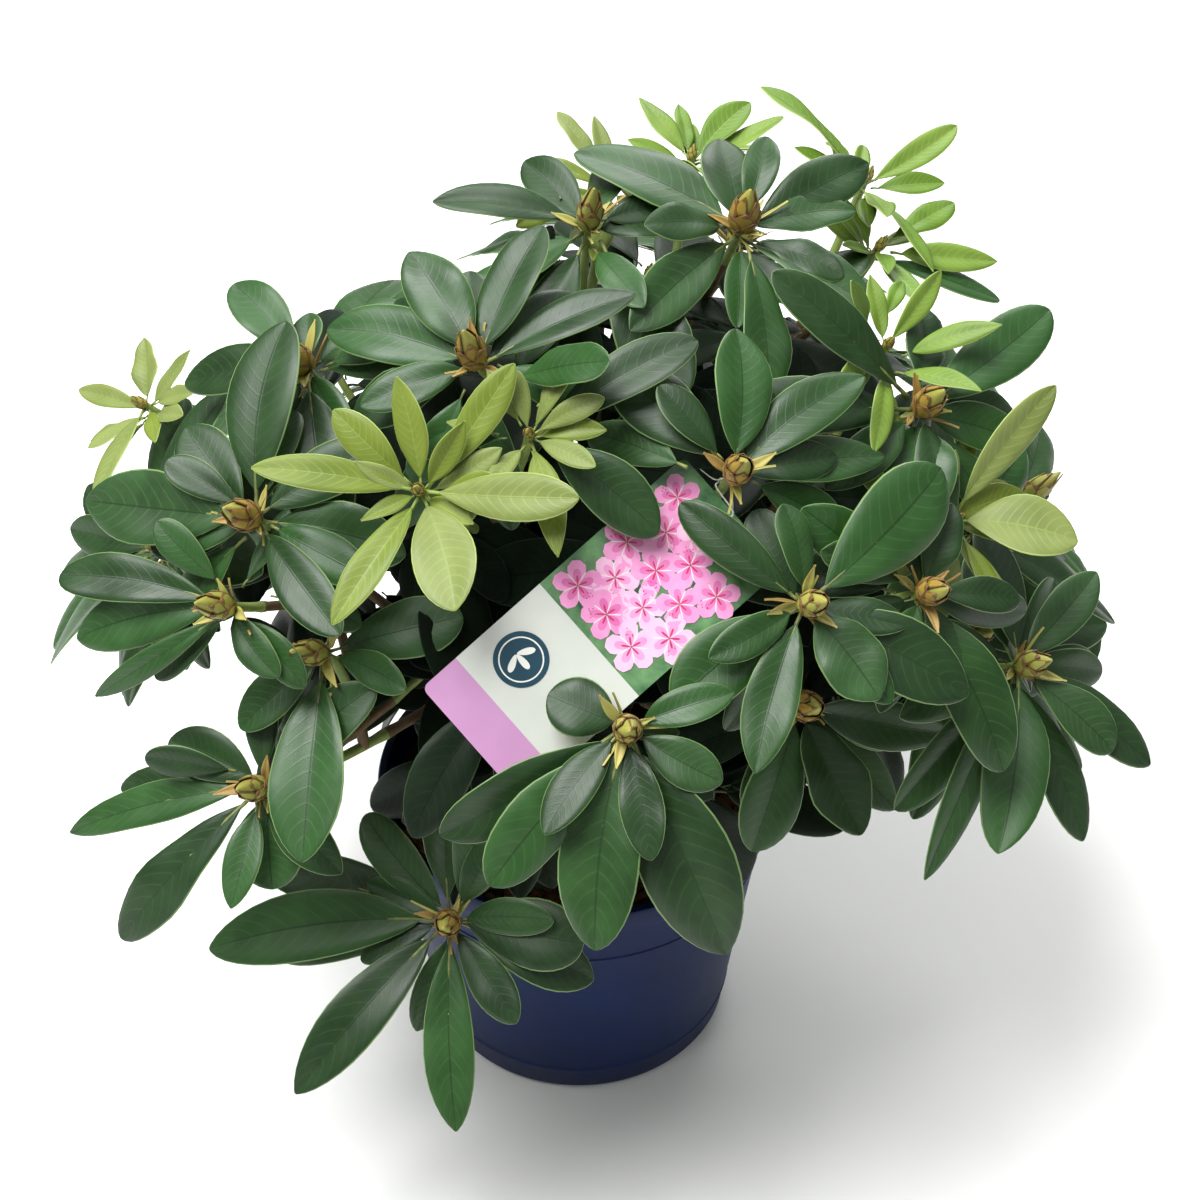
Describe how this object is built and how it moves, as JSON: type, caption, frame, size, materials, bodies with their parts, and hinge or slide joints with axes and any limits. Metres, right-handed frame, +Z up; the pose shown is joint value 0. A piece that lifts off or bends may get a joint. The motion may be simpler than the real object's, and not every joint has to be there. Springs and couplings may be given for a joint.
{
  "type": "potted rhododendron",
  "caption": "Evergreen garden shrub with flower buds and whorls of leathery leaves, standing in a tapered plastic nursery pot, with a picture label hung on a loop.",
  "frame": {"origin": "middle of the pot's flat underside, on the surface that the pot stands on", "axes": "+Z up along the main stem, -Y towards the front, where the label hangs, +X to the right seen from the front"},
  "size_m": [0.6699, 0.6218, 0.6386],
  "materials": {
    "pot_plastic": "satin moulded navy plastic, slightly scuffed",
    "soil_bark": "damp composted bark",
    "bark": "finely fissured brown bark, green on the young stems",
    "foliage": "leathery satin green leaves, pale green when new, with ochre and green buds",
    "label_card": "glossy printed card",
    "tie_thread": "thin pale thread"
  },
  "bodies": {
    "root": {"bough_back": "bark", "bough_back_left": "bark", "bough_back_low": "bark", "bough_back_right": "bark", "bough_centre": "bark", "bough_front": "bark", "bough_front_left": "bark", "bough_front_low": "bark", "bough_left": "bark", "bough_left_crest": "bark", "bough_left_low": "bark", "bough_right": "bark", "bough_right_high": "bark", "bough_right_low": "bark", "bough_right_reach": "bark", "bough_top": "bark", "bough_top_left": "bark", "bough_top_right": "bark", "foliage_back": "foliage", "foliage_back_left": "foliage", "foliage_back_low": "foliage", "foliage_back_right": "foliage", "foliage_centre": "foliage", "foliage_front": "foliage", "foliage_front_left": "foliage", "foliage_front_low": "foliage", "foliage_left": "foliage", "foliage_left_crest": "foliage", "foliage_left_low": "foliage", "foliage_right": "foliage", "foliage_right_high": "foliage", "foliage_right_low": "foliage", "foliage_right_reach": "foliage", "foliage_top": "foliage", "foliage_top_left": "foliage", "foliage_top_right": "foliage", "label_tie": "tie_thread", "main_stem": "bark", "plant_label": "label_card", "pot": "pot_plastic", "soil": "soil_bark"}
  },
  "joints": []
}
